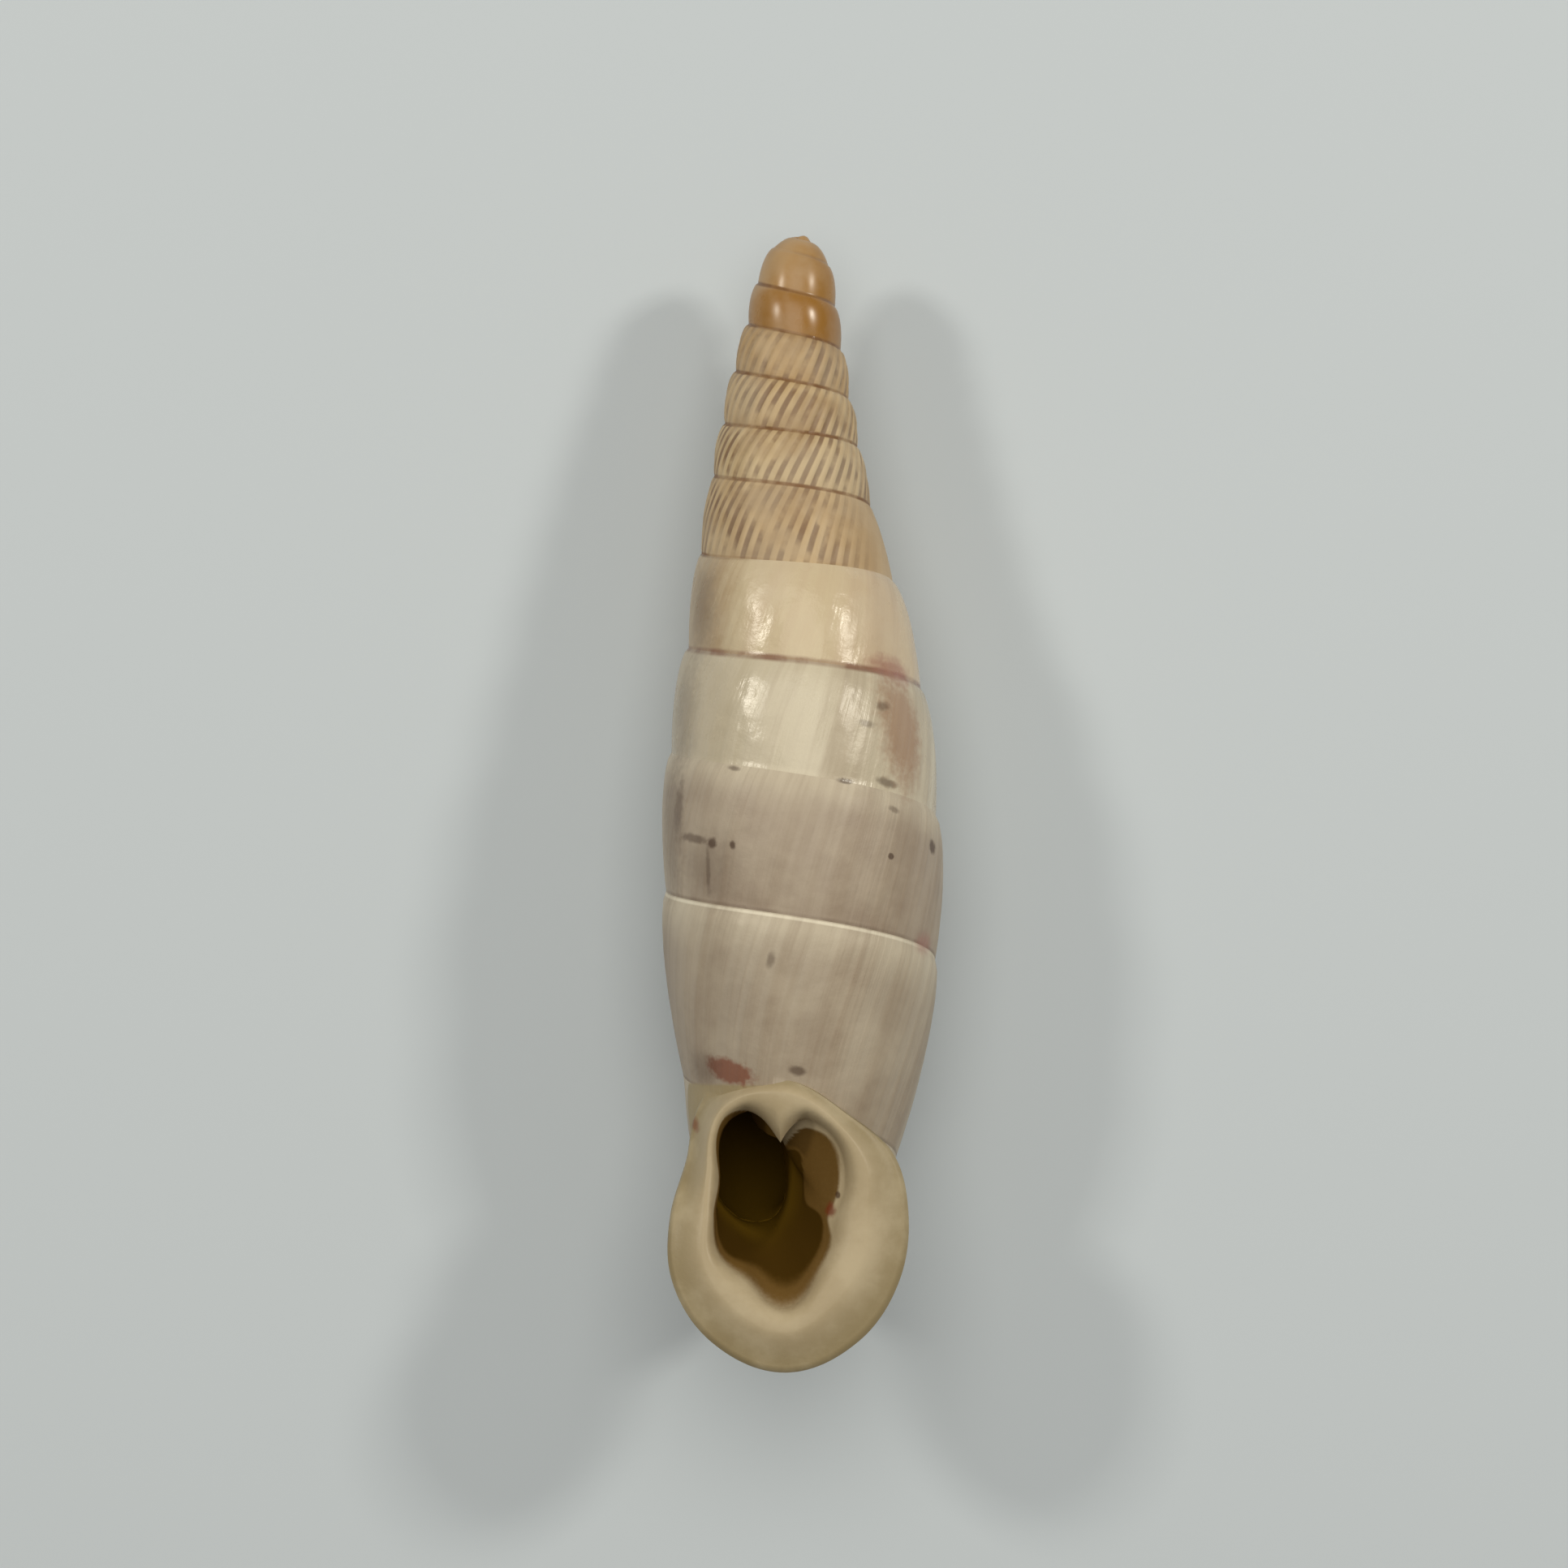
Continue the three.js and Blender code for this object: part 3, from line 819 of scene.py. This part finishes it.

# %% [markdown]
# ## The marks of a long life
#
# Specks, scars and smears sit where wear and dirt have left them; four broad, soft umber smears
# along the left flank are painted shade instead. Each is a place on the front of the shell, half a
# width and height in millimetres, a turn in degrees, a strength and a colour.

# %% Marks
UMBER, RUST, ROSE = tone(72, 48, 30), tone(118, 52, 26), tone(160, 100, 92)
WHORL_MARKS = [
    # x, h, half width, half height, turn, strength, softness, colour
    (-1.83, 8.6, 0.06, 0.36, -4, 0.45, 0.6, UMBER),
    (-1.6, 9.06, 0.25, 0.06, -14, 0.6, 0.5, UMBER),
    (-1.33, 9.13, 0.07, 0.08, 0, 0.8, 0.4, UMBER),
    (-1.03, 9.17, 0.045, 0.06, 20, 0.85, 0.4, UMBER),
    (-1.39, 9.55, 0.03, 0.32, 2, 0.45, 0.6, UMBER),
    (1.32, 9.33, 0.04, 0.05, 20, 0.8, 0.3, UMBER),
    (1.94, 9.17, 0.045, 0.1, 5, 0.8, 0.4, UMBER),
    (-0.46, 10.87, 0.055, 0.11, -15, 0.5, 0.6, UMBER),
    (-0.07, 12.51, 0.12, 0.065, -8, 0.7, 0.5, UMBER),
    (0.63, 8.22, 0.11, 0.04, -8, 0.75, 0.4, UMBER),
    (1.27, 8.24, 0.15, 0.06, -18, 0.6, 0.5, UMBER),
    (-1.0, 8.03, 0.09, 0.035, -10, 0.6, 0.5, UMBER),
    (1.36, 8.63, 0.08, 0.04, -30, 0.5, 0.5, UMBER),
    (-1.1, 12.5, 0.45, 0.17, -17, 0.8, 0.3, tone(130, 68, 42)),
    (-1.45, 12.45, 0.3, 0.22, -10, 0.35, 0.6, UMBER),
    (1.81, 10.62, 0.12, 0.14, 0, 0.5, 0.8, ROSE),
    (1.35, 6.55, 0.5, 0.16, -20, 0.6, 0.6, ROSE),
    (1.5, 7.4, 0.58, 0.85, 0, 0.75, 0.5, tone(160, 124, 98)),
    # painted shade: the next four broad, soft umber smears darken the left flank, which gets less
    # light
    (-1.5, 5.6, 0.28, 0.75, 8, 0.45, 0.8, UMBER),
    (-1.75, 7.1, 0.28, 0.75, 5, 0.35, 0.8, UMBER),
    (-1.95, 8.8, 0.3, 0.9, 2, 0.4, 0.8, UMBER),
    (-1.4, 9.45, 0.5, 0.4, 0, 0.3, 0.9, UMBER),
    (1.2, 7.1, 0.1, 0.06, 0, 0.5, 0.6, UMBER),
    (0.95, 7.36, 0.12, 0.05, -10, 0.45, 0.6, UMBER),
]
LIP_MARKS = [
    (-1.58, 13.31, 0.05, 0.1, 10, 0.6, 0.6, RUST),
    (0.42, 14.56, 0.07, 0.1, 0, 0.8, 0.5, RUST),
    (0.53, 14.34, 0.035, 0.05, 0, 0.8, 0.4, UMBER),
]
MARK_DEPTH = 0.35
MARK_RAGGEDNESS = 0.9


def add_marks(tree, colour, marks):
    """Lays each mark over a colour."""
    for x, h, half_x, half_h, turn, strength, softness, tint in marks:
        inputs = {
            "Centre": front_point(x, h),
            "Half Size": (half_x * MM, half_h * MM, MARK_DEPTH * MM),
            "Turn": math.radians(-turn),
            "Raggedness": MARK_RAGGEDNESS,
            "Softness": softness,
        }
        mask = times(tree, use(tree, stain, inputs)["Mask"], strength)
        colour = blend(tree, mask, colour, tint)
    return colour


# %% [markdown]
# ## The whorls' finish
#
# The colour of a shell follows its growth, so most of it is a ramp along t: amber at the tip, where
# the first whorls stay glossy and smooth, then cream ribs with brown gaps, then worn white and a
# cool grey. Growth lines, darker lines in the sutures and, from turn 8 on, a painted shadow just
# above each suture come on top.

# %% Whorl material
TURN_COLOURS = [
    (0.0, tone(166, 120, 48)), (1.5, tone(154, 108, 42)), (1.95, tone(184, 152, 106)),
    (2.6, tone(188, 158, 114)), (4.0, tone(206, 182, 140)), (5.2, tone(196, 168, 126)),
    (5.6, tone(184, 154, 114)), (6.05, tone(180, 156, 122)), (6.18, tone(212, 196, 164)),
    (6.45, tone(214, 192, 162)), (6.8, tone(200, 174, 142)), (7.0, tone(186, 174, 150)),
    (7.2, tone(222, 214, 192)), (7.5, tone(214, 204, 180)), (7.8, tone(196, 182, 158)),
    (8.05, tone(178, 164, 148)), (8.3, tone(176, 162, 146)), (8.8, tone(166, 150, 132)),
    (9.05, tone(176, 164, 148)), (9.5, tone(184, 172, 152)), (10.5, tone(170, 156, 134)),
    (12.0, tone(164, 148, 124)),
]
TURNS_SHOWN = 12.0
RIB_GAP, RIB_TAN = tone(124, 92, 60), tone(150, 118, 80)
STREAK, WORN = tone(144, 124, 104), tone(224, 214, 192)
WHORL_TOP, WHORL_LOW = tone(216, 206, 184), tone(136, 116, 98)
SUTURE_BROWN, SUTURE_RED = tone(126, 90, 54), tone(124, 80, 60)
SUTURE_THREAD, SUTURE_SHADOW = tone(240, 232, 212), tone(110, 92, 74)
CALLUS = tone(164, 148, 114)


def whorl_inputs(tree):
    """Where a point lies on the whorls, and the patterns that several layers share."""
    turn, across = map_values(tree, "growth")
    phase, seam = map_values(tree, "ribs")
    here = object_place(tree)
    return SimpleNamespace(
        turn=turn,
        across=across,
        phase=phase,
        seam=seam,
        near_lip=map_values(tree, "tint")[1],
        here=here,
        lines=use(tree, growth_lines, {"Along": phase, "Across": across})["Streaks"],
        clouds=use(tree, chalk, {"Size": 900.0}),
        dirt=rise(tree, noise(tree, here, 2400.0, 3.0), 0.36, 0.6),
        large=rise(tree, turn, 5.8, 8.2),
    )


def turn_colour(tree, at):
    """The ramp along the turns; its borders follow the growth lines."""
    push = times(tree, calc(tree, "SUBTRACT", at.lines, 0.5), 0.25)
    share = calc(tree, "DIVIDE", calc(tree, "ADD", at.turn, push), TURNS_SHOWN)
    return ramp(tree, share, [(t / TURNS_SHOWN, colour) for t, colour in TURN_COLOURS])


def paint_ribs(tree, at, colour):
    """Brown gaps between the ribs, darker in some places than in others, and tan patches."""
    ribbed = times(tree, rise(tree, at.turn, 1.9, 2.2), rise(tree, at.turn, 5.44, 5.28))
    gap = rise(tree, calc(tree, "COSINE", times(tree, at.phase, 2 * math.pi)), 0.35, -0.5)
    share = times(tree, gap, ribbed, scaled(tree, at.dirt, 0.75, 0.2))
    colour = blend(tree, share, colour, RIB_GAP)
    tan = rise(tree, noise(tree, at.here, 1500.0, 2.0), 0.45, 0.65)
    return blend(tree, times(tree, tan, ribbed, 0.45), colour, RIB_TAN)


def paint_growth(tree, at, colour):
    """Growth lines, a lighter top and a darker foot on the large whorls, and clouds of wear."""
    share = times(tree, at.lines, scaled(tree, at.large, 0.56, 0.15))
    colour = blend(tree, share, colour, STREAK)
    top = times(tree, rise(tree, at.across, 0.3, 0.0), rise(tree, at.turn, 7.5, 7.9), 0.75)
    top = times(tree, top, scaled(tree, at.lines, -0.7, 1.0))
    colour = blend(tree, top, colour, WHORL_TOP)
    low = times(tree, rise(tree, at.across, 0.35, 1.0), rise(tree, at.turn, 7.8, 8.3), 0.3)
    colour = blend(tree, low, colour, WHORL_LOW)
    return blend(tree, times(tree, at.clouds["Clouds"], 0.22), colour, WORN)


def paint_sutures(tree, at, colour):
    """Darker lines in the sutures: brown on the spire, red-brown at turn 7.

    At turn 9 a white thread lies just below the suture, and from turn 8 on a painted shadow lies
    just above it.
    """
    at_suture = calc(tree, "ADD", at.turn, at.across)
    broken = scaled(tree, at.dirt, 0.5, 0.5)
    brown = times(tree, rise(tree, at_suture, 0.0, 1.0), rise(tree, at_suture, 6.25, 6.0))
    brown = times(tree, rise(tree, at.seam, 0.045, 0.012), brown, broken)
    colour = blend(tree, brown, colour, SUTURE_BROWN)
    red = times(tree, rise(tree, at_suture, 6.7, 7.0), rise(tree, at_suture, 7.75, 7.5))
    red = times(tree, rise(tree, at.seam, 0.085, 0.02), red, broken, 0.8)
    colour = blend(tree, red, colour, SUTURE_RED)
    thread = times(tree, rise(tree, at.turn, 8.95, 9.06), rise(tree, at.turn, 9.5, 9.32))
    thread = times(tree, thread, rise(tree, at.seam, 0.07, 0.045), rise(tree, at.seam, 0.008, 0.025))
    thread = times(tree, thread, scaled(tree, at.lines, -0.5, 1.0))
    thread = times(tree, thread, calc(tree, "LESS_THAN", at.across, 0.5))
    colour = blend(tree, thread, colour, SUTURE_THREAD)
    # painted shadow: a grey band on the foot of each whorl just above the suture, from turn 8 on
    shadow = times(tree, rise(tree, at.seam, 0.07, 0.02), rise(tree, at.turn, 7.9, 8.1), broken, 0.55)
    shadow = times(tree, shadow, calc(tree, "GREATER_THAN", at.across, 0.5))
    return blend(tree, shadow, colour, SUTURE_SHADOW)


def build_whorl_finish(material):
    """Amber, ribbed, worn and grey turns in one finish."""
    tree = empty_tree(material)
    at = whorl_inputs(tree)
    colour = turn_colour(tree, at)
    for paint in (paint_ribs, paint_growth, paint_sutures):
        colour = paint(tree, at, colour)
    colour = blend(tree, rise(tree, at.near_lip, 0.46, 0.53), colour, CALLUS)
    colour = add_marks(tree, colour, WHORL_MARKS)
    past_tip = rise(tree, at.turn, 1.6, 2.0)
    fine = times(tree, at.lines, scaled(tree, at.large, 0.7, 0.3))
    fine = scaled(tree, at.clouds["Grains"], 0.35, fine)
    height = times(tree, scaled(tree, noise(tree, at.here, 2600.0, 1.0), 1.6, fine), past_tip)
    polish = times(tree, rise(tree, at.turn, 5.7, 6.1), rise(tree, at.turn, 8.3, 7.6))
    rough = scaled(tree, past_tip, 0.2, 0.24)
    for value, change in ((polish, -0.25), (at.lines, 0.08), (at.clouds["Clouds"], 0.12)):
        rough = scaled(tree, value, change, rough)
    end_in_shader(tree, height, 0.7, 0.018, {"Base Color": colour, "Roughness": rough, "IOR": 1.53})


print("colours along the turns:", len(TURN_COLOURS))

# %% [markdown]
# ## The lip's finish
#
# The lip was laid down last, in thick glossy layers, so it is smoother and yellower than the whorls.
# Inside the throat the colour deepens to a dark olive brown: painted shade, where little light
# reaches into the hole. Deep in the hollow a lighter brown is painted light, as if it shone through
# the thin wall. The UV map "tint" says where, and it was worked out with the throat's rings.


# %% Lip material
NECK_GREY = tone(180, 167, 146)
# LIP_EDGE_SHADE is painted shade on the lip's underside and outer edge
LIP_EDGE_SHADE, LIP_CREAM, LIP_CLOUD = tone(150, 135, 102), tone(177, 161, 130), tone(226, 214, 186)
# painted shade: the throat's brown and dark; painted light: the lighter brown deep in the hollow
THROAT_SHADE_BROWN, THROAT_SHADE_DARK = tone(106, 80, 38), tone(66, 47, 14)
HOLLOW_GLOW_BROWN = tone(100, 76, 20)


def build_lip_finish(material):
    """Cream at the lip, the whorls' grey on the neck, dark and dull in the throat.

    The lip darkens toward its outer edge, and the throat to brown and dark, as painted shade; deep in
    the hollow a lighter brown is painted light.
    """
    tree = empty_tree(material)
    shade, lip = map_values(tree, "tint")
    clouds = use(tree, chalk, {"Size": 1100.0})
    # painted shade: the lip's underside and outer edge are darker, where the edge rolls back from the
    # lamps; the face brightens to cream at the crest
    colour = blend(tree, rise(tree, lip, 0.05, 0.65), NECK_GREY, LIP_EDGE_SHADE)
    colour = blend(tree, rise(tree, lip, 0.72, 1.0), colour, LIP_CREAM)
    colour = blend(tree, times(tree, clouds["Clouds"], 0.25), colour, LIP_CLOUD)
    # painted shade: the shade value turns the throat brown, then dark, with ragged edges
    ragged = scaled(tree, calc(tree, "SUBTRACT", clouds["Grains"], 0.5), 0.14, shade)
    colour = blend(tree, rise(tree, ragged, 0.08, 0.55), colour, THROAT_SHADE_BROWN)
    colour = blend(tree, rise(tree, ragged, 0.5, 0.95), colour, THROAT_SHADE_DARK)
    # painted light: deep in the hollow the colour turns a lighter brown, as if lit through the thin
    # wall
    colour = blend(tree, rise(tree, shade, 1.0, 1.0 + DEEP), colour, HOLLOW_GLOW_BROWN)
    colour = add_marks(tree, colour, LIP_MARKS)
    rough = scaled(tree, clouds["Clouds"], 0.14, scaled(tree, shade, 0.4, 0.4), clamp=True)
    sheen = scaled(tree, shade, -0.6, 0.5, clamp=True)
    end_in_shader(tree, clouds["Grains"], 0.3, 0.01, {
        "Base Color": colour,
        "Roughness": rough,
        "Specular IOR Level": sheen,
        "IOR": 1.4,
    })


build_whorl_finish(whorl_finish)
build_lip_finish(lip_finish)
print("materials:", [material.name for material in shell.data.materials])

# %% [markdown]
# ## The floor
#
# The shell lies on a plain pale table. One large flat square is enough: its edges lie far outside
# the picture. It is stage, and not part of the object.

# %% The stage
FLOOR_HALF = 0.4
FLOOR_TONE = tone(206, 216, 226)
FLOOR_ROUGHNESS = 0.9
floor_mesh = bpy.data.meshes.new("floor")
floor_corners = [(FLOOR_HALF * x, FLOOR_HALF * y, 0) for x, y in ((-1, -1), (1, -1), (1, 1), (-1, 1))]
floor_mesh.from_pydata(floor_corners, [], [(0, 1, 2, 3)])
floor = bpy.data.objects.new("floor", floor_mesh)
bpy.context.scene.collection.objects.link(floor)
floor_material = bpy.data.materials.new("pale table")
floor_material.use_nodes = True
floor_shader = floor_material.node_tree.nodes["Principled BSDF"]
floor_shader.inputs["Base Color"].default_value = FLOOR_TONE
floor_shader.inputs["Roughness"].default_value = FLOOR_ROUGHNESS
floor_mesh.materials.append(floor_material)
print("the floor is", 2 * FLOOR_HALF, "m wide")

# %% [markdown]
# ## Light
#
# Old shell shows its polish in small highlights, and those are pictures of the lamps. Two small
# softboxes, left and right of the camera and a little toward the tip, make the two rows of them.
# Alone they would leave hard shadows, so a large soft light from above and a dim room fill in.

# %% Lights
LIGHT_DISTANCE = 0.12
LIGHT_COLOUR = (1.0, 0.94, 0.81)
ROOM_COLOUR = (1.0, 0.96, 0.9, 1.0)
ROOM_STRENGTH = 0.17
LIGHTS = [
    # name, direction from the shell, side in metres, watts
    ("left softbox", (-0.66, 0.34, 0.68), 0.016, 0.036),
    ("right softbox", (0.70, 0.34, 0.64), 0.016, 0.044),
    ("overhead fill", (0.0, 0.25, 1.0), 0.09, 0.056),
]


def add_light(name, direction, side, watts):
    """A square area light at a distance, facing the shell."""
    data = bpy.data.lights.new(name, "AREA")
    data.size = side
    data.energy = watts
    data.color = LIGHT_COLOUR
    lamp = bpy.data.objects.new(name, data)
    lamp.location = Vector(direction).normalized() * LIGHT_DISTANCE
    lamp.rotation_euler = Vector(direction).to_track_quat("Z", "Y").to_euler()
    bpy.context.scene.collection.objects.link(lamp)


for light in LIGHTS:
    add_light(*light)
print("lights:", [name for name, *_ in LIGHTS])
world = bpy.data.worlds.new("room")
bpy.context.scene.world = world
world.use_nodes = True
background = world.node_tree.nodes["Background"]
background.inputs[0].default_value = ROOM_COLOUR
background.inputs[1].default_value = ROOM_STRENGTH
bpy.context.scene.view_settings.view_transform = "Standard"

# %% [markdown]
# ## The camera
#
# It looks almost straight down through a very long lens, so there is hardly any perspective. The
# width of the picture at the shell is given in millimetres, and the distance follows from it.

# %% Camera
LENS = 250.0
SENSOR = 36.0
FRAME_WIDTH = 23.46
AIM_X, AIM_H = -0.267, 8.21
CAMERA_TILT = math.radians(1.75)
aim = Vector(((AIM_X + shift_x) * MM, (shift_y - AIM_H) * MM, -REST_LEVEL * MM))
distance = LENS / SENSOR * FRAME_WIDTH * MM
camera_data = bpy.data.cameras.new("camera")
camera_data.lens = LENS
camera_data.sensor_width = SENSOR
camera_data.clip_start = 0.001
camera = bpy.data.objects.new("camera", camera_data)
camera.location = aim + Vector((0, -math.sin(CAMERA_TILT), math.cos(CAMERA_TILT))) * distance
camera.rotation_euler = (CAMERA_TILT, 0, 0)
bpy.context.scene.collection.objects.link(camera)
bpy.context.scene.camera = camera
print("the camera is", round(distance, 3), "m away")
